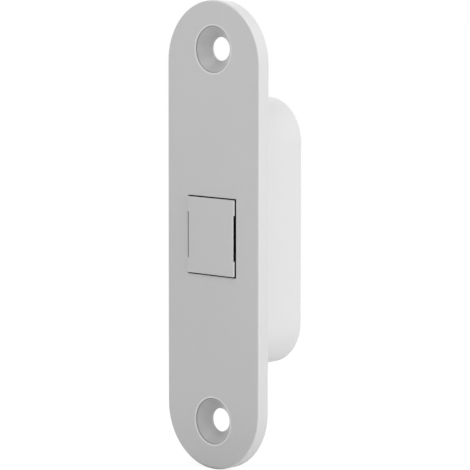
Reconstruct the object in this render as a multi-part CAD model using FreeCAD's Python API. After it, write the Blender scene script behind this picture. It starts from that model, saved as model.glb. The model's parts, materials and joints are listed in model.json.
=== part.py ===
import FreeCAD, Part
import math
import os

from FreeCAD import Vector

# A flush magnetic catch for a cupboard. Millimetres. X runs across the face plate, Y from front to back, into the
# cabinet, and Z up. The origin is on the plate's back face, midway between the two screw holes.

# Face plate
plate_width = 22.0
plate_height = 83.2
plate_thickness = 2.4
plate_edge_radius = 0.3
screw_end_distance = 8.6  # from a screw hole's centre to the plate's end
screw_hole_diameter = 4.2
countersink_diameter = 8.4
countersink_angle = 90.0
rim_radius = 0.12

# Nose cap, in the plate's opening
nose_offset = -0.35  # the nose and all behind it sit left of the screw line
nose_width = 11.2
nose_height = 13.55
nose_proud = 0.3
nose_gap = 0.25
opening_shift = 0.1  # the nose leans to the left in the plate's opening
nose_skin = 1.2
nose_side_wall = 0.75
nose_end_wall = 2.8
nose_corner_radius = 0.2
nose_edge_radius = 0.12
notch_depth = 0.27
notch_height = 8.1

# Magnet, with a steel pole plate on each side
pole_thickness = 1.0
magnet_edge = 0.2
pocket_gap = 0.05

# Housing, a tub behind the plate
housing_height = 47.9
housing_depth = 12.65
housing_wall = 1.3
housing_back = 1.8
housing_side_room = 0.9  # between the nose and the tub's side wall
housing_edge_radius = 0.15

# Carrier, which slides in the housing
travel = 4.0
end_gap = 0.05  # between the pushed-in carrier and the housing's floor
hub_side_step = 0.4
hub_end_step = 1.2
hub_corner_radius = 1.0
hub_floor = 1.9
wing_width = 9.0
wing_thickness = 2.4
wing_end_gap = 0.5
sleeve_wall = 0.5
sleeve_length = 2.4

# Guide pins and rubber stop washers
pin_diameter = 2.0
pin_plate_depth = 0.9
pin_back_depth = 0.8
pin_chamfer = 0.2
stop_diameter = 5.0
stop_thickness = 0.6
stop_bore_gap = 0.15

# Return springs
spring_wire = 0.4
spring_turns = 7.0
spring_closed_turns = 1.0
spring_coil_gap = 0.012
spring_end_gap = 0.05
spring_bore_gap = 0.3
spring_seat_gap = 0.3
spring_seat_depth = 0.4
spring_steps_per_turn = 12

# Screws from the back of the housing into the plate's bosses
housing_screw_diameter = 2.0
housing_screw_grip = 1.8
housing_screw_head = 3.8
housing_screw_angle = 90.0
housing_screw_sink = 0.1
boss_diameter = 3.6
boss_height = 2.0
column_wall = 0.75
column_sink = 0.2  # how far a screw column runs into the tub's end wall

# Screws from the back of the carrier into the nose cap
cap_screw_end_distance = 1.4  # from a cap screw's centre to the nose's end
cap_screw_diameter = 1.6
cap_screw_grip = 1.7
cap_screw_head = 2.8
cap_screw_head_height = 1.0
cap_screw_head_gap = 0.2
cap_screw_head_sink = 0.6

# Driver recesses, as shares of the screw's head
recess_width_share = 0.16
recess_length_share = 0.6
recess_depth_share = 0.3

# Clearances: on the radius, and beyond the end of a blind hole
running_gap = 0.05
seat_gap = 0.02
shank_gap = 0.1
blind_spare = 0.2

# Planes along Y that more than one piece meets
plate_back = 0.0
plate_front = plate_back - plate_thickness
nose_front = plate_front - nose_proud
magnet_front = nose_front + nose_skin
carrier_front = plate_back + stop_thickness
wing_back = carrier_front + wing_thickness
sleeve_back = wing_back + sleeve_length
housing_rear = plate_back + housing_depth
housing_floor = housing_rear - housing_back
spring_seat = housing_floor + spring_seat_depth
spring_front = wing_back + spring_end_gap
hub_back = housing_floor - travel - end_gap
magnet_back = hub_back - hub_floor
pin_front = plate_back - pin_plate_depth
pin_back = spring_seat + pin_back_depth
boss_back = plate_back + boss_height
housing_screw_tip = boss_back - housing_screw_grip
housing_screw_top = housing_rear - housing_screw_sink
cap_screw_tip = carrier_front - cap_screw_grip
cap_screw_top = hub_back - cap_screw_head_sink
cap_screw_seat = cap_screw_top - cap_screw_head_height

# Widths and heights that follow from what goes inside what
opening_width = nose_width + 2 * nose_gap
opening_height = nose_height + 2 * nose_gap
pocket_width = nose_width - 2 * notch_depth - 2 * nose_side_wall
pocket_height = nose_height - 2 * nose_end_wall
magnet_width = pocket_width - 2 * pocket_gap - 2 * pole_thickness
magnet_height = pocket_height - 2 * pocket_gap
inside_width = nose_width + 2 * housing_side_room
inside_height = housing_height - 2 * housing_wall
housing_width = inside_width + 2 * housing_wall
hub_width = nose_width + 2 * hub_side_step
hub_height = nose_height + 2 * hub_end_step
column_diameter = boss_diameter + 2 * running_gap + 2 * column_wall
guide_bore = pin_diameter + 2 * running_gap
sleeve_diameter = guide_bore + 2 * sleeve_wall
spring_diameter = sleeve_diameter + 2 * spring_bore_gap + spring_wire
spring_length = spring_seat - spring_front

# Heights of the pairs of pieces above and below the nose
screw_z = plate_height / 2 - screw_end_distance
housing_screw_z = inside_height / 2 + column_sink - column_diameter / 2
wing_end = housing_screw_z - column_diameter / 2 - wing_end_gap
pin_z = (hub_height / 2 + wing_end) / 2
cap_screw_z = nose_height / 2 - cap_screw_end_distance
sides = {"upper": 1, "lower": -1}

along_y = Vector(0, 1, 0)
tolerance = 0.001


def block(width, height, y_from, y_to, x=nose_offset, z=0.0):
    corner = Vector(x - width / 2, y_from, z - height / 2)
    return Part.makeBox(width, y_to - y_from, height, corner)


def rod(diameter, y_from, y_to, z, x=nose_offset):
    return Part.makeCylinder(diameter / 2, y_to - y_from, Vector(x, y_from, z), along_y)


def taper(diameter_from, diameter_to, y_from, y_to, z, x=nose_offset):
    return Part.makeCone(diameter_from / 2, diameter_to / 2, y_to - y_from, Vector(x, y_from, z), along_y)


def taper_depth(wide, narrow, angle):
    """How deep a cone of this full angle is between two diameters."""
    return (wide - narrow) / 2 / math.tan(math.radians(angle / 2))


def round_ended(width, height, y_from, y_to, x=nose_offset):
    """A prism along Y whose outline has two straight sides and half-round ends."""
    half = width / 2
    straight = height / 2 - half
    right_low = Vector(x + half, y_from, -straight)
    right_high = Vector(x + half, y_from, straight)
    left_high = Vector(x - half, y_from, straight)
    left_low = Vector(x - half, y_from, -straight)
    top = Vector(x, y_from, height / 2)
    bottom = Vector(x, y_from, -height / 2)
    outline = Part.Wire([
        Part.LineSegment(right_low, right_high).toShape(),
        Part.Arc(right_high, top, left_high).toShape(),
        Part.LineSegment(left_high, left_low).toShape(),
        Part.Arc(left_low, bottom, right_low).toShape(),
    ])
    return Part.Face(outline).extrude(along_y * (y_to - y_from))


def edges_at(shape, y):
    """The edges that lie wholly in the plane at this Y."""
    flat = [e for e in shape.Edges if e.BoundBox.YLength < tolerance]
    return [e for e in flat if abs(e.BoundBox.YMin - y) < tolerance]


def edges_along_y(shape):
    return [e for e in shape.Edges if e.BoundBox.XLength < tolerance and e.BoundBox.ZLength < tolerance]


def rounded_block(width, height, y_from, y_to, corner_radius):
    plain = block(width, height, y_from, y_to)
    return plain.makeFillet(corner_radius, edges_along_y(plain))


def wood_screw_hole(z):
    depth = taper_depth(countersink_diameter, screw_hole_diameter, countersink_angle)
    hole = rod(screw_hole_diameter, plate_front, plate_back, z, x=0)
    cone = taper(countersink_diameter, screw_hole_diameter, plate_front, plate_front + depth, z, x=0)
    return hole.fuse(cone)


def plate_blank():
    """The plate's outline with its front edge rounded, and the two countersunk holes with rounded rims."""
    blank = round_ended(plate_width, plate_height, plate_front, plate_back, x=0)
    blank = blank.makeFillet(plate_edge_radius, edges_at(blank, plate_front))
    for side in sides.values():
        blank = blank.cut(wood_screw_hole(side * screw_z))
    rim_length = math.pi * countersink_diameter
    rims = [e for e in edges_at(blank, plate_front) if abs(e.Length - rim_length) < tolerance]
    return blank.makeFillet(rim_radius, rims)


def face_plate():
    opening_x = nose_offset + opening_shift
    plate = plate_blank().cut(block(opening_width, opening_height, plate_front, plate_back, opening_x))
    for side in sides.values():
        plate = plate.fuse(rod(boss_diameter, plate_back, boss_back, side * housing_screw_z))
        thread_diameter = housing_screw_diameter + 2 * seat_gap
        thread = rod(thread_diameter, housing_screw_tip - blind_spare, boss_back, side * housing_screw_z)
        pin_hole = rod(pin_diameter + 2 * seat_gap, pin_front - blind_spare, plate_back, side * pin_z)
        plate = plate.cut(thread).cut(pin_hole)
    return plate


def housing():
    tub = round_ended(housing_width, housing_height, plate_back, housing_rear)
    tub = tub.makeFillet(housing_edge_radius, edges_at(tub, housing_rear))
    tub = tub.cut(round_ended(inside_width, inside_height, plate_back, housing_floor))
    for side in sides.values():
        z = side * housing_screw_z
        tub = tub.fuse(rod(column_diameter, plate_back, housing_floor, z))
        tub = tub.cut(rod(boss_diameter + 2 * running_gap, plate_back, boss_back + running_gap, z))
        tub = tub.cut(rod(housing_screw_diameter + 2 * shank_gap, boss_back, housing_screw_top, z))
        tub = tub.cut(housing_screw_top_shape(z, seat_gap))
        tub = tub.cut(rod(housing_screw_head + 2 * seat_gap, housing_screw_top, housing_rear, z))
        seat_diameter = spring_diameter + spring_wire + 2 * spring_seat_gap
        tub = tub.cut(rod(seat_diameter, housing_floor, spring_seat, side * pin_z))
        tub = tub.cut(rod(pin_diameter + 2 * seat_gap, spring_seat, pin_back, side * pin_z))
    return tub.removeSplitter()


def housing_screw_top_shape(z, gap):
    """The cone of the screw's flat head, grown by a gap all round."""
    depth = taper_depth(housing_screw_head, housing_screw_diameter, housing_screw_angle)
    narrow = housing_screw_diameter + 2 * gap
    wide = housing_screw_head + 2 * gap
    return taper(narrow, wide, housing_screw_top - depth, housing_screw_top, z)


def driver_recess(head_diameter, head_top, z):
    """A cross recess sunk from the head's top."""
    width = recess_width_share * head_diameter
    length = recess_length_share * head_diameter
    bottom = head_top - recess_depth_share * head_diameter
    upright = block(width, length, bottom, head_top, z=z)
    level = block(length, width, bottom, head_top, z=z)
    return upright.fuse(level)


def housing_screw(side):
    z = side * housing_screw_z
    screw = rod(housing_screw_diameter, housing_screw_tip, housing_screw_top, z)
    screw = screw.fuse(housing_screw_top_shape(z, 0))
    return screw.cut(driver_recess(housing_screw_head, housing_screw_top, z))


def cap_screw(side):
    z = side * cap_screw_z
    screw = rod(cap_screw_diameter, cap_screw_tip, cap_screw_seat, z)
    screw = screw.fuse(rod(cap_screw_head, cap_screw_seat, cap_screw_top, z))
    return screw.cut(driver_recess(cap_screw_head, cap_screw_top, z))


def nose_cap():
    cap = rounded_block(nose_width, nose_height, nose_front, carrier_front, nose_corner_radius)
    for side in (1, -1):
        x = nose_offset + side * nose_width / 2
        cap = cap.cut(block(2 * notch_depth, notch_height, nose_front, carrier_front, x))
    cap = cap.makeFillet(nose_edge_radius, edges_at(cap, nose_front))
    cap = cap.cut(block(pocket_width, pocket_height, magnet_front, carrier_front))
    for side in sides.values():
        thread_diameter = cap_screw_diameter + 2 * seat_gap
        cap = cap.cut(rod(thread_diameter, cap_screw_tip - blind_spare, carrier_front, side * cap_screw_z))
    return cap


def magnet_carrier():
    carrier = rounded_block(hub_width, hub_height, carrier_front, hub_back, hub_corner_radius)
    carrier = carrier.fuse(round_ended(wing_width, 2 * wing_end, carrier_front, wing_back))
    for side in sides.values():
        carrier = carrier.fuse(rod(sleeve_diameter, wing_back, sleeve_back, side * pin_z))
    carrier = carrier.cut(block(pocket_width, pocket_height, carrier_front, magnet_back))
    for side in sides.values():
        z = side * cap_screw_z
        bore = rod(guide_bore, carrier_front, sleeve_back, side * pin_z)
        shank = rod(cap_screw_diameter + 2 * shank_gap, carrier_front, cap_screw_seat, z)
        head = rod(cap_screw_head + 2 * cap_screw_head_gap, cap_screw_seat, hub_back, z)
        carrier = carrier.cut(bore).cut(shank).cut(head)
    return carrier.removeSplitter()


def magnet():
    body = block(magnet_width, magnet_height, magnet_front, magnet_back)
    return body.makeChamfer(magnet_edge, edges_along_y(body))


def pole_plate(side):
    x = nose_offset + side * (magnet_width + pole_thickness) / 2
    return block(pole_thickness, magnet_height, magnet_front, magnet_back, x)


def guide_pin(side):
    pin = rod(pin_diameter, pin_front, pin_back, side * pin_z)
    return pin.makeChamfer(pin_chamfer, edges_at(pin, pin_front) + edges_at(pin, pin_back))


def stop_washer(side):
    ring = rod(stop_diameter, plate_back, carrier_front, side * pin_z)
    return ring.cut(rod(pin_diameter + 2 * stop_bore_gap, plate_back, carrier_front, side * pin_z))


def spring_line():
    """The wire's centre line about Z: a closed coil at each end and an even pitch between them."""
    closed_pitch = spring_wire + spring_coil_gap
    open_length = spring_length - spring_wire - 2 * spring_closed_turns * closed_pitch
    open_pitch = open_length / (spring_turns - 2 * spring_closed_turns)
    steps = round(spring_turns * spring_steps_per_turn)
    height = spring_wire / 2
    points = []
    for step in range(steps + 1):
        turn = step / spring_steps_per_turn
        angle = 2 * math.pi * turn
        points.append(Vector(math.cos(angle), math.sin(angle), 0) * (spring_diameter / 2) + Vector(0, 0, height))
        is_closed = turn < spring_closed_turns or turn >= spring_turns - spring_closed_turns
        height += (closed_pitch if is_closed else open_pitch) / spring_steps_per_turn
    line = Part.BSplineCurve()
    line.interpolate(points)
    return line


def return_spring(side):
    line = spring_line()
    slope = line.tangent(line.FirstParameter)[0]
    section = Part.Wire(Part.Circle(line.StartPoint, slope, spring_wire / 2).toShape())
    coil = Part.Wire(line.toShape()).makePipeShell([section], True, True)
    coil.rotate(Vector(0, 0, 0), Vector(1, 0, 0), -90)
    coil.translate(Vector(nose_offset, spring_front, side * pin_z))
    return coil


def pair(name, make):
    return {name + "_" + word: make(side) for word, side in sides.items()}


pieces = {
    "face_plate": face_plate(),
    "housing": housing(),
    "nose_cap": nose_cap(),
    "magnet_carrier": magnet_carrier(),
    "magnet": magnet(),
    "pole_plate_left": pole_plate(-1),
    "pole_plate_right": pole_plate(1),
}
pieces.update(pair("guide_pin", guide_pin))
pieces.update(pair("stop_washer", stop_washer))
pieces.update(pair("return_spring", return_spring))
pieces.update(pair("cap_screw", cap_screw))
pieces.update(pair("housing_screw", housing_screw))

os.makedirs("parts", exist_ok=True)
for node, shape in pieces.items():
    print(node, shape.isValid(), len(shape.Solids), round(shape.Volume, 2))
    shape.exportStep("parts/" + node + ".step")
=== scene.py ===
import bmesh
import bpy
import json
import math
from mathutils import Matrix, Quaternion, Vector


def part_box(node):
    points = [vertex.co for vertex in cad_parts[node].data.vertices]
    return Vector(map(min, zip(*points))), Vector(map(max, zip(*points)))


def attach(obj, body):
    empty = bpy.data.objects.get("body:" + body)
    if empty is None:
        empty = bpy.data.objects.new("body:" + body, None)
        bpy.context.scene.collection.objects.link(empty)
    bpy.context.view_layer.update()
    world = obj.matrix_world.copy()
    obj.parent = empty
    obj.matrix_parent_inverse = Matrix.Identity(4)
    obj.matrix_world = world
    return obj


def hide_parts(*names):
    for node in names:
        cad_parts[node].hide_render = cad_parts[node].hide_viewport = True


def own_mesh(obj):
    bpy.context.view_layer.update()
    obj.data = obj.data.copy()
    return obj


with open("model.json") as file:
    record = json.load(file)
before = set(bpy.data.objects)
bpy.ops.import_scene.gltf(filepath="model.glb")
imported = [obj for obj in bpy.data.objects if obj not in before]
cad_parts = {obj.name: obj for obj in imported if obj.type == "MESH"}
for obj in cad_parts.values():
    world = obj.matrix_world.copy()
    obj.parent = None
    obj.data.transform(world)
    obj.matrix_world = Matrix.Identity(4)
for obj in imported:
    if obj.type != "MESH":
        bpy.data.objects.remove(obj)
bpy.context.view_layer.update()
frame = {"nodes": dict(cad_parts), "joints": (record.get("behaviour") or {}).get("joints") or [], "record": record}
nodes = frame["nodes"]
print("frame loaded:", len(nodes), "pieces")

mm = 0.001


def deselectAll():
    bpy.ops.object.select_all(action="DESELECT")


def makeActive(piece):
    deselectAll()
    piece.select_set(True)
    bpy.context.view_layer.objects.active = piece


def startDisc(name, corners, radius, spot, turn):
    # a filled disc to be drawn out in edit mode; its place is already in its mesh
    deselectAll()
    bpy.ops.mesh.primitive_circle_add(vertices=corners, radius=radius * mm, fill_type="NGON",
                                      location=spot, rotation=turn)
    made = bpy.context.object
    made.name = name
    bpy.ops.object.transform_apply(location=True, rotation=True, scale=True)
    bpy.ops.object.mode_set(mode="EDIT")
    return made


def closeSkin():
    # leaves edit mode with every face pointing outwards
    bpy.ops.mesh.select_all(action="SELECT")
    bpy.ops.mesh.normals_make_consistent(inside=False)
    bpy.ops.object.mode_set(mode="OBJECT")


def turnedPiece(name, axisAt, profile, corners):
    # turned on a line along Y: each (radius, y) of the profile, in millimetres, is a ring
    radius, y = profile[0]
    spot = (axisAt.x, y * mm, axisAt.z)
    made = startDisc(name, corners, radius, spot, (math.pi / 2, 0, 0))
    for nextRadius, nextY in profile[1:]:
        bpy.ops.mesh.extrude_region_move(TRANSFORM_OT_translate={"value": (0, (nextY - y) * mm, 0)})
        share = nextRadius / radius
        bpy.ops.transform.resize(value=(share, 1, share), center_override=(axisAt.x, 0, axisAt.z))
        radius, y = nextRadius, nextY
    closeSkin()
    return made


def woundPiece(name, axisAt, corners, sectionRadius, route, perTurn):
    # a section wound round a line along Y: route holds a (radius, y) in millimetres for each step
    radius, y = route[0]
    spot = (axisAt.x + radius * mm, y * mm, axisAt.z)
    made = startDisc(name, corners, sectionRadius, spot, (0, 0, -math.pi / 2))
    pivot = (axisAt.x, 0, axisAt.z)
    for nextRadius, nextY in route[1:]:
        bpy.ops.mesh.extrude_region_move(TRANSFORM_OT_translate={"value": (0, (nextY - y) * mm, 0)})
        bpy.ops.transform.rotate(value=2 * math.pi / perTurn, orient_axis="Y", center_override=pivot)
        share = nextRadius / radius
        bpy.ops.transform.resize(value=(share, 1, share), center_override=pivot)
        radius, y = nextRadius, nextY
    closeSkin()
    return made


def cutOrJoin(piece, tool, operation):
    change = piece.modifiers.new(operation.lower(), "BOOLEAN")
    change.operation = operation
    change.solver = "EXACT"
    change.object = tool
    makeActive(piece)
    bpy.ops.object.modifier_apply(modifier=change.name)
    bpy.data.objects.remove(tool)


def smooth(piece, degrees):
    makeActive(piece)
    bpy.ops.object.shade_smooth_by_angle(angle=math.radians(degrees))


def copyTo(piece, name, shift):
    makeActive(piece)
    bpy.ops.object.duplicate()
    made = bpy.context.object
    made.name = name
    bpy.ops.transform.translate(value=shift)
    bpy.ops.object.transform_apply(location=True, rotation=True, scale=True)
    return made


def middle(node):
    low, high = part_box(node)
    return (low + high) / 2


def placePair(piece, name, node, body):
    # the piece is the upper one; the lower one is its copy
    lower = copyTo(piece, name + "Lower", middle(node + "_lower") - middle(node + "_upper"))
    for made, side in ((piece, "upper"), (lower, "lower")):
        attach(made, body)
        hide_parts(node + "_" + side)
    return {"upper": piece, "lower": lower}


# return springs: wire bent round Y, with a closed coil at each end; lengths in millimetres
spring = {
    "wire": 0.4,
    "corners": 14,
    "turns": 7,
    "closedTurns": 1,
    "perTurn": 28,
    "coilGap": 0.012,
    "stroke": [joint for joint in frame["joints"] if joint["name"] == "nose_slide"][0]["range_m"][1] / mm,
    "smoothAngle": 40,
}


def springRoute(front, length, radius):
    closedPitch = spring["wire"] + spring["coilGap"]
    openLength = length - spring["wire"] - 2 * spring["closedTurns"] * closedPitch
    openPitch = openLength / (spring["turns"] - 2 * spring["closedTurns"])
    y = front + spring["wire"] / 2
    route = [(radius, y)]
    for step in range(spring["turns"] * spring["perTurn"]):
        turn = step / spring["perTurn"]
        closed = turn < spring["closedTurns"] or turn >= spring["turns"] - spring["closedTurns"]
        y += (closedPitch if closed else openPitch) / spring["perTurn"]
        route.append((radius, y))
    return route


def makeSprings():
    low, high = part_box("return_spring_upper")
    length = (high.y - low.y) / mm
    radius = ((high.x - low.x) / mm - spring["wire"]) / 2
    route = springRoute(low.y / mm, length, radius)
    wound = woundPiece("returnSpringUpper", middle("return_spring_upper"), spring["corners"],
                       spring["wire"] / 2, route, spring["perTurn"])
    smooth(wound, spring["smoothAngle"])
    pair = placePair(wound, "returnSpring", "return_spring", "body")
    for side, made in pair.items():
        seat = middle("return_spring_" + side)
        seat.y = high.y
        1 - spring["stroke"] / length
        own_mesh(made)


makeSprings()
print("return springs wound")


# screws: head and tip along Y come from the frame, the rest is in millimetres; the crown is the head's
# profile as (radius, depth below its top)
screws = {
    "housing_screw": {
        "name": "housingScrew",
        "body": "body",
        "head": 3.8,
        "crown": ((1.76, 0.0), (1.83, 0.015), (1.86, 0.05), (1.82, 0.085), (1.0, 0.9), (1.0, 1.3)),
        "thread": 2.0,
        "root": 1.5,
        "pitch": 0.7,
    },
    "cap_screw": {
        "name": "capScrew",
        "body": "nose",
        "head": 2.8,
        "crown": ((0.95, 0.0), (1.2, 0.06), (1.34, 0.2), (1.4, 0.42), (1.4, 0.95), (1.36, 1.0), (0.8, 1.0),
                  (0.8, 1.3)),
        "thread": 1.6,
        "root": 1.16,
        "pitch": 0.55,
    },
}
# what both kinds share; the cross slot's sizes are shares of the head's width
screwMaking = {
    "corners": 40,
    "threadCorners": 3,
    "perTurn": 20,
    "tipLength": 0.45,
    "tipShare": 0.55,
    "runOut": 0.5,  # turns over which the thread rises from the root
    "slotWidth": 0.17,
    "slotLength": 0.6,
    "slotDepth": 0.3,
    "slotTaper": 0.62,
    "facing": 0.5,  # a face looks along Y where its normal's share of Y is more than this
    "smoothAngle": 35,
}


def threadRoute(start, end, screw):
    count = round((start - end) / screw["pitch"] * screwMaking["perTurn"])
    rise = (screw["thread"] - screw["root"]) / 2
    route = []
    for step in range(count + 1):
        turn = step / screwMaking["perTurn"]
        left = (count - step) / screwMaking["perTurn"]
        share = min(turn, left, screwMaking["runOut"]) / screwMaking["runOut"]
        y = start - turn * screw["pitch"]
        route.append((screw["root"] / 2 - rise * (1 - share), y))
    return route


def selectFaces(piece, wanted):
    bpy.ops.mesh.select_all(action="DESELECT")
    mesh = bmesh.from_edit_mesh(piece.data)
    for face in mesh.faces:
        face.select_set(wanted(face))
    bmesh.update_edit_mesh(piece.data)


def driverCutter(screw, axisAt, top):
    # a cross: a bar's four sides are drawn out, and the deep end is drawn in
    width = screwMaking["slotWidth"] * screw["head"] * mm
    arm = (screwMaking["slotLength"] * screw["head"] * mm - width) / 2
    depth = screwMaking["slotDepth"] * screw["head"] * mm
    deselectAll()
    bpy.ops.mesh.primitive_cube_add(size=1, location=(axisAt.x, top, axisAt.z),
                                    scale=(width, 2 * depth, width))
    cutter = bpy.context.object
    bpy.ops.object.transform_apply(location=True, rotation=True, scale=True)
    bpy.ops.object.mode_set(mode="EDIT")
    bpy.ops.mesh.select_mode(type="FACE")
    selectFaces(cutter, lambda face: abs(face.normal.y) < screwMaking["facing"])
    bpy.ops.mesh.extrude_faces_move(TRANSFORM_OT_shrink_fatten={"value": arm})
    selectFaces(cutter, lambda face: face.normal.y < -screwMaking["facing"])
    taper = screwMaking["slotTaper"]
    bpy.ops.transform.resize(value=(taper, 1, taper), center_override=(axisAt.x, 0, axisAt.z))
    closeSkin()
    return cutter


def makeScrews(node, screw):
    low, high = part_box(node + "_upper")
    axisAt = middle(node + "_upper")
    tip, top = low.y / mm, high.y / mm
    neckRadius, neckDepth = screw["crown"][-1]
    neck = top - neckDepth
    root = screw["root"] / 2
    profile = [(radius, top - depth) for radius, depth in screw["crown"]]
    profile.append((root, neck - (neckRadius - root)))  # runs in at 45 degrees
    profile.append((root, tip + screwMaking["tipLength"]))
    profile.append((root * screwMaking["tipShare"], tip))
    made = turnedPiece(screw["name"] + "Upper", axisAt, profile, screwMaking["corners"])
    cutOrJoin(made, driverCutter(screw, axisAt, high.y), "DIFFERENCE")
    route = threadRoute(neck - screw["pitch"] / 2, tip + screwMaking["tipLength"], screw)
    ridge = woundPiece("thread", axisAt, screwMaking["threadCorners"], (screw["thread"] - screw["root"]) / 2,
                       route, screwMaking["perTurn"])
    cutOrJoin(made, ridge, "UNION")
    smooth(made, screwMaking["smoothAngle"])
    placePair(made, screw["name"], node, screw["body"])


for node, screw in screws.items():
    makeScrews(node, screw)
    print(screw["name"], "pair made")


# what the finishes measure, in millimetres: it all comes from the frame, but for the gap round the nose and
# the opening's shift
plateLow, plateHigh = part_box("face_plate")
noseLow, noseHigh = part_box("nose_cap")
tubLow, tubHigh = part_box("housing")
holes = [mount for mount in frame["record"]["mounts"] if mount["name"] == "screw_holes"][0]["dims"]
plate = {
    "halfWidth": plateHigh.x / mm,
    "halfHeight": plateHigh.z / mm,
    "front": plateLow.y / mm,
    "holeHeight": holes["spacing_y_mm"] / 2,
    "coneRadius": holes["hole_r_mm"] * 2,  # the countersink is twice as wide as its hole
}
nose = {
    "centre": middle("nose_cap").x / mm,
    "halfWidth": (noseHigh.x - noseLow.x) / 2 / mm,
    "halfHeight": noseHigh.z / mm,
    "front": noseLow.y / mm,
    "gap": 0.25,
    "openingShift": 0.1,  # the opening sits this far to the right of the nose
}
tub = {
    "centre": middle("housing").x / mm,
    "halfWidth": (tubHigh.x - tubLow.x) / 2 / mm,
    "halfHeight": tubHigh.z / mm,
    "back": tubHigh.y / mm,
}


class Signal:
    # a node's output; sums written with it become Math nodes
    def __init__(self, tree, socket):
        self.tree = tree
        self.socket = socket

    def math(self, operation, *values):
        return addNode(self.tree, "ShaderNodeMath", {"operation": operation}, values)

    def __add__(self, other):
        return self.math("ADD", self, other)

    def __radd__(self, other):
        return self.math("ADD", other, self)

    def __sub__(self, other):
        return self.math("SUBTRACT", self, other)

    def __rsub__(self, other):
        return self.math("SUBTRACT", other, self)

    def __mul__(self, other):
        return self.math("MULTIPLY", self, other)

    def __rmul__(self, other):
        return self.math("MULTIPLY", other, self)

    def __pow__(self, other):
        return self.math("POWER", self, other)

    def most(self, other):
        return self.math("MAXIMUM", self, other)

    def least(self, other):
        return self.math("MINIMUM", self, other)

    def size(self):
        return self.math("ABSOLUTE", self)

    def wave(self):
        return self.math("SINE", self)

    def step(self, low, high):
        # 0 below low, 1 above high, eased between them; it falls where high is the smaller
        settings = {"interpolation_type": "SMOOTHSTEP"}
        return addNode(self.tree, "ShaderNodeMapRange", settings, (self, low, high, 0.0, 1.0))


def addNode(tree, kind, settings=None, inputs=(), output=0):
    # inputs is a tuple in socket order or a dictionary by socket; a Signal there becomes a link
    made = tree.nodes.new(kind)
    for key, value in (settings or {}).items():
        setattr(made, key, value)
    pairs = inputs.items() if isinstance(inputs, dict) else enumerate(inputs)
    for key, value in pairs:
        socket = made.inputs[key]
        if isinstance(value, Signal):
            tree.links.new(value.socket, socket)
        elif value is not None:
            socket.default_value = value
    return Signal(tree, made.outputs[output]) if made.outputs else made


def distance(a, b):
    return (a * a + b * b) ** 0.5


def paint(value):
    # a grey level as a colour socket wants it; a Signal goes through as it is
    if isinstance(value, Signal):
        return value
    return (value, value, value, 1.0)


class Finish:
    # one material: places on the object in millimetres, patterns, and the closing shader
    def __init__(self, name):
        self.material = bpy.data.materials.new(name)
        self.material.use_nodes = True
        self.tree = self.material.node_tree
        self.tree.nodes.clear()
        place = self.node("ShaderNodeTexCoord", output="Object")
        self.place = self.node("ShaderNodeVectorMath", {"operation": "SCALE"},
                               {"Vector": place, "Scale": 1 / mm})
        apart = self.node("ShaderNodeSeparateXYZ", None, (self.place,))
        outputs = apart.socket.node.outputs
        self.x, self.y, self.z = [Signal(self.tree, outputs[i]) for i in range(3)]

    def node(self, kind, settings=None, inputs=(), output=0):
        return addNode(self.tree, kind, settings, inputs, output)

    def noise(self, perMm, detail, roughness, stretch=(1, 1, 1)):
        spot = self.node("ShaderNodeMapping", {"vector_type": "POINT"},
                         {"Vector": self.place, "Scale": Vector(stretch) * perMm})
        return self.node("ShaderNodeTexNoise", None,
                         {"Vector": spot, "Scale": 1.0, "Detail": detail, "Roughness": roughness})

    def cells(self, perMm):
        return self.node("ShaderNodeTexVoronoi", {"feature": "F1"}, {"Vector": self.place, "Scale": perMm})

    def mix(self, share, first, second):
        # several sockets share a name, so numbers say which: 0, 6 and 7 are for colours, as is output 2
        settings = {"data_type": "RGBA", "blend_type": "MIX"}
        return self.node("ShaderNodeMix", settings, {0: share, 6: paint(first), 7: paint(second)}, 2)

    def lighten(self, share, colour):
        return self.mix(share, colour, 1.0)

    def darken(self, share, colour):
        return self.mix(share, colour, 0.0)

    def bump(self, height, depth, below=None):
        inputs = {"Height": height, "Distance": depth * mm, "Strength": 1.0, "Normal": below}
        return self.node("ShaderNodeBump", None, inputs)

    def close(self, colour, rough, metal=0.0, normal=None):
        inputs = {"Base Color": paint(colour), "Roughness": rough, "Metallic": metal, "Normal": normal}
        shader = self.node("ShaderNodeBsdfPrincipled", None, inputs)
        self.node("ShaderNodeOutputMaterial", None, {"Surface": shader})
        return self.material


def edgeDistance(f, centre, halfWidth, halfHeight):
    # how far inside a round-ended outline a point lies, in millimetres
    past = (f.z.size() - (halfHeight - halfWidth)).most(0.0)
    return halfWidth - distance(f.x - centre, past)


def boxDistance(f, centre, halfWidth, halfHeight):
    # how far outside an upright rectangle a point lies, below zero inside it
    return ((f.x - centre).size() - halfWidth).most(f.z.size() - halfHeight)


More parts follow.
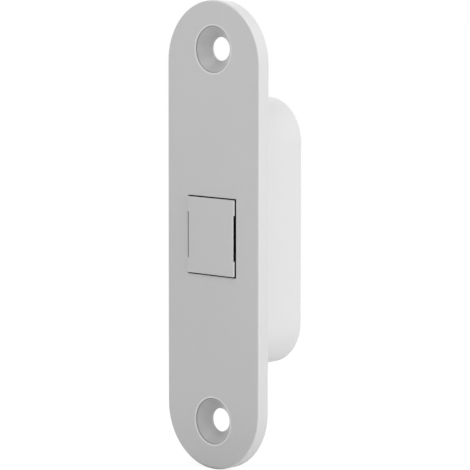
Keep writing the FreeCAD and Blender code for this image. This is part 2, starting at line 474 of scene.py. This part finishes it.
# the plate's and the nose's paint, with painted light and shade in it; lengths in millimetres, and a pair is where
# a step starts
# and ends: Along is measured up the object, Across to the right, Deep behind the plate's front, Inset from an edge
lacquer = {
    "grey": 0.61,
    "darkest": 0.97,
    "lightest": 1.03,
    "rough": 0.46,
    "grain": {"perMm": 7.0, "detail": 3.0, "roughness": 0.6},
    "grainShare": 1.1,
    "grainRough": 0.14,
    "grainDepth": 0.006,
    "ripple": {"perMm": 0.9, "detail": 2.0, "roughness": 0.5},
    "rippleRough": 0.08,
    "rippleDepth": 0.012,
    "cloud": {"perMm": 0.08, "detail": 2.0, "roughness": 0.5},
    "cloudShare": 0.5,
    "patchStep": (0.5, 0.95),
    "paintedTiltShade": 0.045,
    "paintedTiltAlong": (22.0, -28.0),  # painted shade, darker towards the bottom left: up and to the right, added up
    "paintedLowShade": 0.1,
    "paintedLowAlong": (-26.0, -45.0),
    "paintedUnderShade": 0.3,
    "underFrom": -39.0,
    "underInset": (0.7, 0.1),
    "underAcross": (5.0, 0.0),
    "wearAndHighlightGrey": 0.64,
    "wearAndHighlightShare": 0.75,
    "wornRough": 0.3,
    "wearAndHighlightInset": (0.14, 0.02),
    "wearAndHighlightDeep": (0.4, 0.05),
    "noseWearAndHighlightDeep": (0.3, 0.1),  # behind the nose's own front
    "openingShadeGrey": 0.1,
    "openingShadeInset": (0.06, 0.02),
    "openingShadeDeep": (0.4, 0.8),
    "flankShadeGrey": 0.012,
    "slideRough": 0.1,
    "flankShadeDeep": (-0.04, 0.06),
}
# the countersinks, painted darker than the face as shade, and the pale rings round them as a painted highlight, in
# the same way; Along starts from each hole's centre
cone = {
    # painted shade: the countersink is darker than the face, and lighter deeper in
    "grey": 0.435,
    "deepPaintedLightGrey": 0.49,
    "deepDeep": (0.3, 1.8),
    "mouthShadeGrey": 0.25,
    "mouthDeep": (0.26, 0.16),
    "skin": (0.12, 0.04),  # away from the cone's surface
    "startDeep": (0.02, 0.05),
    "bright": 0.17,
    "brightAcross": (0.0, 2.5),
    "topBright": 0.1,
    "topAlong": (1.0, 3.5),
    "paintedLowShade": 0.05,
    "paintedLowAlong": (0.5, -2.5),
    "lowAcross": (2.0, -1.0),
    "footBright": 0.12,
    "footAlong": (-1.5, -3.5),
    "footAcross": (-3.0, 1.0),
    "ringsPerMm": 6.0,
    "ringShade": 0.06,
    "ringDepth": 0.008,
    "smoother": 0.08,
    "rimHighlightGrey": 0.8,
    "rimHighlightShare": 0.8,
    "rimInset": (0.36, 0.1),
    "rimDeep": (0.04, 0.01),
}


def greyLacquer(f):
    # satin paint: a fine grain, a slow orange peel and a faint cloudiness, with painted shade towards the bottom
    # left; wear and a painted edge highlight show in its patches
    fine = f.noise(**lacquer["grain"])
    ripple = f.noise(**lacquer["ripple"])
    cloud = f.noise(**lacquer["cloud"])
    spread = (cloud - 0.5) * lacquer["cloudShare"] + (fine - 0.5) * lacquer["grainShare"] + 0.5
    grey = f.mix(spread, lacquer["grey"] * lacquer["darkest"], lacquer["grey"] * lacquer["lightest"])
    # painted shade: darker towards the bottom and the left
    grey = f.darken((f.z + f.x).step(*lacquer["paintedTiltAlong"]) * lacquer["paintedTiltShade"], grey)
    rough = lacquer["rough"] + (fine - 0.5) * lacquer["grainRough"] + (ripple - 0.5) * lacquer["rippleRough"]
    normal = f.bump(fine, lacquer["grainDepth"], f.bump(ripple, lacquer["rippleDepth"]))
    return grey, rough, normal, (fine + ripple).step(*lacquer["patchStep"])


def paintedConeShadeAndRings(f, depth, rings):
    # painted shade and light: darkest at the mouth, lighter to the right and at the foot; the upper one has a
    # lighter top and a darker low left
    grey = f.mix(depth.step(*cone["deepDeep"]), cone["grey"], cone["deepPaintedLightGrey"])
    grey = f.mix(depth.step(*cone["mouthDeep"]), grey, cone["mouthShadeGrey"])
    grey = f.lighten(f.x.step(*cone["brightAcross"]) * cone["bright"], grey)
    inUpper = f.z.step(-1.0, 1.0)
    up = f.z - (inUpper * 2.0 - 1.0) * plate["holeHeight"]
    grey = f.lighten(up.step(*cone["topAlong"]) * inUpper * cone["topBright"], grey)
    shaded = up.step(*cone["paintedLowAlong"]) * inUpper * f.x.step(*cone["lowAcross"])
    grey = f.darken(shaded * cone["paintedLowShade"], grey)
    lit = up.step(*cone["footAlong"]) * f.x.step(*cone["footAcross"])
    grey = f.lighten(lit * cone["footBright"], grey)
    return f.darken(rings * cone["ringShade"], grey)


def plateLacquer():
    f = Finish("plateLacquer")
    grey, rough, normal, patchy = greyLacquer(f)
    depth = f.y - plate["front"]
    fromHole = distance(f.x, f.z.size() - plate["holeHeight"])
    fromCone = (fromHole + depth - plate["coneRadius"]).size()
    onCone = fromCone.step(*cone["skin"]) * depth.step(*cone["startDeep"])
    rings = (fromHole * (cone["ringsPerMm"] * 2 * math.pi)).wave() * 0.5 + 0.5  # left by the cutter
    grey = f.mix(onCone, grey, paintedConeShadeAndRings(f, depth, rings))
    # painted shade: the plate darker towards its bottom
    grey = f.darken(f.z.step(*lacquer["paintedLowAlong"]) * lacquer["paintedLowShade"], grey)
    outer = edgeDistance(f, 0.0, plate["halfWidth"], plate["halfHeight"])
    aroundNose = boxDistance(f, nose["centre"] + nose["openingShift"], nose["halfWidth"] + nose["gap"],
                             nose["halfHeight"] + nose["gap"])
    # lighter edges: wear in patches, and a painted highlight along the outline and round the opening
    nearEdge = outer.least(aroundNose.size()).step(*lacquer["wearAndHighlightInset"])
    edge = nearEdge * depth.step(*lacquer["wearAndHighlightDeep"])
    grey = f.mix(edge * patchy * lacquer["wearAndHighlightShare"], grey, lacquer["wearAndHighlightGrey"])
    # painted shade along the bottom edge where it turns down, fading out to the right
    paintedUnder = outer.step(*lacquer["underInset"]) * f.z.step(lacquer["underFrom"], -plate["halfHeight"])
    paintedUnder = paintedUnder * f.x.step(*lacquer["underAcross"])
    grey = f.darken(paintedUnder * lacquer["paintedUnderShade"], grey)
    # painted highlight: a pale ring where the countersink's rim rounds over
    rimHighlight = (fromHole - plate["coneRadius"]).size().step(*cone["rimInset"]) * depth.step(*cone["rimDeep"])
    grey = f.mix(rimHighlight * cone["rimHighlightShare"], grey, cone["rimHighlightGrey"])
    # painted shade: the opening's walls go near black deeper in
    openingShade = aroundNose.step(*lacquer["openingShadeInset"]) * depth.step(*lacquer["openingShadeDeep"])
    grey = f.mix(openingShade, grey, lacquer["openingShadeGrey"])
    normal = f.bump(rings * onCone, cone["ringDepth"], normal)
    rough = rough - onCone * cone["smoother"] + edge * lacquer["wornRough"]
    return f.close(grey, rough, 0.0, normal)


def noseLacquer():
    f = Finish("noseLacquer")
    grey, rough, normal, patchy = greyLacquer(f)
    edge = boxDistance(f, nose["centre"], nose["halfWidth"], nose["halfHeight"]).size()
    # lighter front edges: wear in patches, and a painted highlight
    wearAndHighlight = edge.step(*lacquer["wearAndHighlightInset"]) * (f.y - nose["front"]).step(*lacquer["noseWearAndHighlightDeep"]) * patchy
    grey = f.mix(wearAndHighlight * lacquer["wearAndHighlightShare"], grey, lacquer["wearAndHighlightGrey"])
    # painted shade: the nose's flanks behind the plate's front are near black, and metallic so that they hardly
    # reflect
    shadedFlank = (f.y - plate["front"]).step(*lacquer["flankShadeDeep"])
    grey = f.mix(shadedFlank, grey, lacquer["flankShadeGrey"])
    return f.close(grey, rough + shadedFlank * lacquer["slideRough"], shadedFlank, normal)


# the housing's moulded plastic, a little rubbed round its back edge; lengths in millimetres
plastic = {
    "white": 0.64,
    "darkest": 0.985,
    "lightest": 1.01,
    "cloud": {"perMm": 0.12, "detail": 2.0, "roughness": 0.5},
    "rough": 0.5,
    "spark": {"perMm": 5.0, "detail": 4.0, "roughness": 0.7},
    "sparkRough": 0.15,
    "sparkDepth": 0.008,
    "rubbedWhite": 0.67,
    "rubbedWidth": 0.5,
    "rubbedFull": 0.05,
    "rubbedSmoother": 0.1,
}


def housingPlastic():
    f = Finish("housingPlastic")
    spark = f.noise(**plastic["spark"])
    cloud = f.noise(**plastic["cloud"])
    white = f.mix(cloud, plastic["white"] * plastic["darkest"], plastic["white"] * plastic["lightest"])
    outer = edgeDistance(f, tub["centre"], tub["halfWidth"], tub["halfHeight"])
    nearBack = f.y.step(tub["back"] - plastic["rubbedWidth"], tub["back"])
    rubbed = outer.step(plastic["rubbedWidth"], plastic["rubbedFull"]) * nearBack
    white = f.mix(rubbed * spark, white, plastic["rubbedWhite"])
    rough = plastic["rough"] + (spark - 0.5) * plastic["sparkRough"] - rubbed * plastic["rubbedSmoother"]
    return f.close(white, rough, 0.0, f.bump(spark, plastic["sparkDepth"]))


# the carrier's plastic and the washers' rubber
darkParts = {
    "carrierPlastic": {
        "grain": {"perMm": 4.0, "detail": 3.0, "roughness": 0.6},
        "darkest": 0.014,
        "lightest": 0.03,
        "rough": 0.42,
        "grainRough": 0.2,
        "grainDepth": 0.004,
    },
    "stopRubber": {
        "grain": {"perMm": 8.0, "detail": 2.0, "roughness": 0.5},
        "darkest": 0.012,
        "lightest": 0.022,
        "rough": 0.75,
        "grainRough": 0.2,
        "grainDepth": 0.006,
    },
}


def darkGrain(name):
    look = darkParts[name]
    f = Finish(name)
    fine = f.noise(**look["grain"])
    shade = f.mix(fine, look["darkest"], look["lightest"])
    rough = look["rough"] + (fine - 0.5) * look["grainRough"]
    return f.close(shade, rough, 0.0, f.bump(fine, look["grainDepth"]))


# the steels differ in shade and in how their fine marks are drawn out
steels = {
    "poleSteel": {"shade": 0.45, "rough": 0.4, "perMm": 3.0, "stretch": (1, 1, 6)},
    "pinSteel": {"shade": 0.6, "rough": 0.28, "perMm": 4.0, "stretch": (1, 0.1, 1)},
    "springSteel": {"shade": 0.5, "rough": 0.35, "perMm": 5.0, "stretch": (1, 1, 1)},
    "screwSteel": {"shade": 0.62, "rough": 0.36, "perMm": 5.0, "stretch": (1, 1, 1)},
}
steelMarks = {
    "detail": 3.0,
    "roughness": 0.7,
    "darkest": 0.85,
    "lightest": 1.1,
    "rough": 0.25,
    "depth": 0.004,
}


def plainSteel(name):
    look = steels[name]
    f = Finish(name)
    drawn = f.noise(look["perMm"], steelMarks["detail"], steelMarks["roughness"], look["stretch"])
    tint = f.mix(drawn, look["shade"] * steelMarks["darkest"], look["shade"] * steelMarks["lightest"])
    rough = look["rough"] + (drawn - 0.5) * steelMarks["rough"]
    return f.close(tint, rough, 1.0, f.bump(drawn, steelMarks["depth"]))


# the magnet: pressed ferrite, dark and speckled
magnet = {
    "specksPerMm": 6.0,
    "darkest": 0.02,
    "lightest": 0.05,
    "rough": 0.6,
    "speckSmoother": 0.2,
    "speckDepth": 0.01,
}


def ferrite():
    f = Finish("magnetCeramic")
    speck = f.cells(magnet["specksPerMm"])
    shade = f.mix(speck, magnet["darkest"], magnet["lightest"])
    rough = magnet["rough"] - speck * magnet["speckSmoother"]
    return f.close(shade, rough, 0.0, f.bump(speck, magnet["speckDepth"]))


finishes = {
    "plate_finish": plateLacquer(),
    "nose_finish": noseLacquer(),
    "housing_plastic": housingPlastic(),
    "carrier_plastic": darkGrain("carrierPlastic"),
    "magnet_ceramic": ferrite(),
    "pole_steel": plainSteel("poleSteel"),
    "pin_steel": plainSteel("pinSteel"),
    "spring_steel": plainSteel("springSteel"),
    "screw_steel": plainSteel("screwSteel"),
    "stop_rubber": darkGrain("stopRubber"),
}
print("finishes made:", len(finishes))


def putOn(piece, slot):
    piece.data.materials.clear()
    piece.data.materials.append(finishes[slot])


slotOf = {part["node"]: part["material_slot"] for part in frame["record"]["subparts"]}
for name, piece in nodes.items():
    putOn(piece, slotOf[name])
for side in ("Upper", "Lower"):
    putOn(bpy.data.objects["returnSpring" + side], "spring_steel")
    for screw in screws.values():
        putOn(bpy.data.objects[screw["name"] + side], "screw_steel")
print("finishes put on every piece")


# camera, from the fit of the photo: a long lens to the right of the plate and a little above it
view = {
    "azimuth": 42.9,
    "elevation": 6.66,
    "roll": 0.065,
    "distance": 559.6 * mm,
    "target": Vector((5.33 * mm, plate["front"] * mm, 0.71 * mm)),
    "focalPixels": 3196.0,
    "framePixels": 470.0,
    "sensor": 36.0,
    "clipNear": 0.01,
    "clipFar": 50.0,
}


def viewDirection(azimuth, elevation):
    # from the object towards the eye; azimuth 0 is straight in front, and it grows to the right
    a = math.radians(azimuth)
    e = math.radians(elevation)
    return Vector((math.sin(a) * math.cos(e), -math.cos(a) * math.cos(e), math.sin(e)))


def addCamera():
    data = bpy.data.cameras.new("camera")
    data.sensor_width = view["sensor"]
    data.lens = view["focalPixels"] * view["sensor"] / view["framePixels"]
    data.clip_start = view["clipNear"]
    data.clip_end = view["clipFar"]
    camera = bpy.data.objects.new("camera", data)
    bpy.context.scene.collection.objects.link(camera)
    direction = viewDirection(view["azimuth"], view["elevation"])
    camera.location = view["target"] + direction * view["distance"]
    roll = Quaternion((0, 0, 1), math.radians(view["roll"]))
    camera.rotation_euler = (direction.to_track_quat("Z", "Y") @ roll).to_euler()
    bpy.context.scene.camera = camera


# azimuth and elevation of where each lamp stands, distance and side in metres, power in watts, and the
# height on the plate, in millimetres, that it looks at
lamps = {
    "topSoftbox": {
        "azimuth": 60.0,
        "elevation": 84.0,
        "distance": 0.9,
        "side": 0.7,
        "power": 1.5,
        "aim": 0.0,
    },
    "backSoftbox": {
        "azimuth": 205.0,
        "elevation": 8.0,
        "distance": 0.9,
        "side": 0.6,
        "power": 2.4,
        "aim": 0.0,
    },
    "sideSoftbox": {
        "azimuth": 87.0,
        "elevation": 12.0,
        "distance": 0.9,
        "side": 0.5,
        "power": 4.4,
        "aim": 0.0,
    },
    "frontSoftbox": {
        "azimuth": 20.0,
        "elevation": 58.0,
        "distance": 0.26,
        "side": 0.15,
        "power": 0.19,
        "aim": 50.0,
    },
}


def addLamp(name, lamp):
    data = bpy.data.lights.new(name, "AREA")
    data.shape = "SQUARE"
    data.size = lamp["side"]
    data.energy = lamp["power"]
    made = bpy.data.objects.new(name, data)
    bpy.context.scene.collection.objects.link(made)
    direction = viewDirection(lamp["azimuth"], lamp["elevation"])
    made.location = Vector((0, 0, lamp["aim"] * mm)) + direction * lamp["distance"]
    made.rotation_euler = direction.to_track_quat("Z", "Y").to_euler()


# distances in metres; floorReturn is the share of white that the lit floor gives back by itself
room = {
    "ambient": 0.49,
    "floorWhite": 0.9,
    "floorReturn": 0.6,
    "shadowShare": 0.22,
    "shadowNear": 0.06,
    "shadowFar": 0.22,
    "floorSide": 1.2,
}


def seenDirectly(tree):
    # 1 for what the camera sees straight on, in a reflection or through glass
    rays = addNode(tree, "ShaderNodeLightPath")
    outputs = rays.socket.node.outputs
    camera, glossy, through = [Signal(tree, outputs[n]) for n in
                               ("Is Camera Ray", "Is Glossy Ray", "Is Transmission Ray")]
    return camera.most(glossy).most(through)


def lightRoom():
    world = bpy.data.worlds.new("room")
    world.use_nodes = True
    tree = world.node_tree
    tree.nodes.clear()
    strength = seenDirectly(tree) * (1.0 - room["ambient"]) + room["ambient"]
    glow = addNode(tree, "ShaderNodeBackground", None, {"Color": paint(1.0), "Strength": strength})
    addNode(tree, "ShaderNodeOutputWorld", None, {"Surface": glow})
    bpy.context.scene.world = world


def addFloor():
    # white all over; near the object the lit floor is part of that white, so that it keeps a shadow
    deselectAll()
    bpy.ops.mesh.primitive_plane_add(size=room["floorSide"], location=(0, 0, plateLow.z))
    floor = bpy.context.object
    floor.name = "floor"
    f = Finish("paleFloor")
    matt = f.node("ShaderNodeBsdfDiffuse", None, {"Color": paint(room["floorWhite"])})
    glow = f.node("ShaderNodeEmission", None, {"Color": paint(1.0), "Strength": 1.0})
    near = distance(f.x, f.y).step(room["shadowFar"] / mm, room["shadowNear"] / mm)
    seen = seenDirectly(f.tree)
    mattShare = 1.0 - seen * (1.0 - near * room["shadowShare"])
    glowShare = seen * (1.0 - near * (room["shadowShare"] * room["floorReturn"]))
    # sockets 0 and 2 are the share and the second shader; the first stays empty, which gives nothing
    kept = [f.node("ShaderNodeMixShader", None, {0: share, 2: shader})
            for share, shader in ((mattShare, matt), (glowShare, glow))]
    both = f.node("ShaderNodeAddShader", None, tuple(kept))
    f.node("ShaderNodeOutputMaterial", None, {"Surface": both})
    floor.data.materials.append(f.material)


addCamera()
for name, lamp in lamps.items():
    addLamp(name, lamp)
lightRoom()
addFloor()
bpy.context.scene.view_settings.view_transform = "Standard"
print("camera, lamps and floor set")
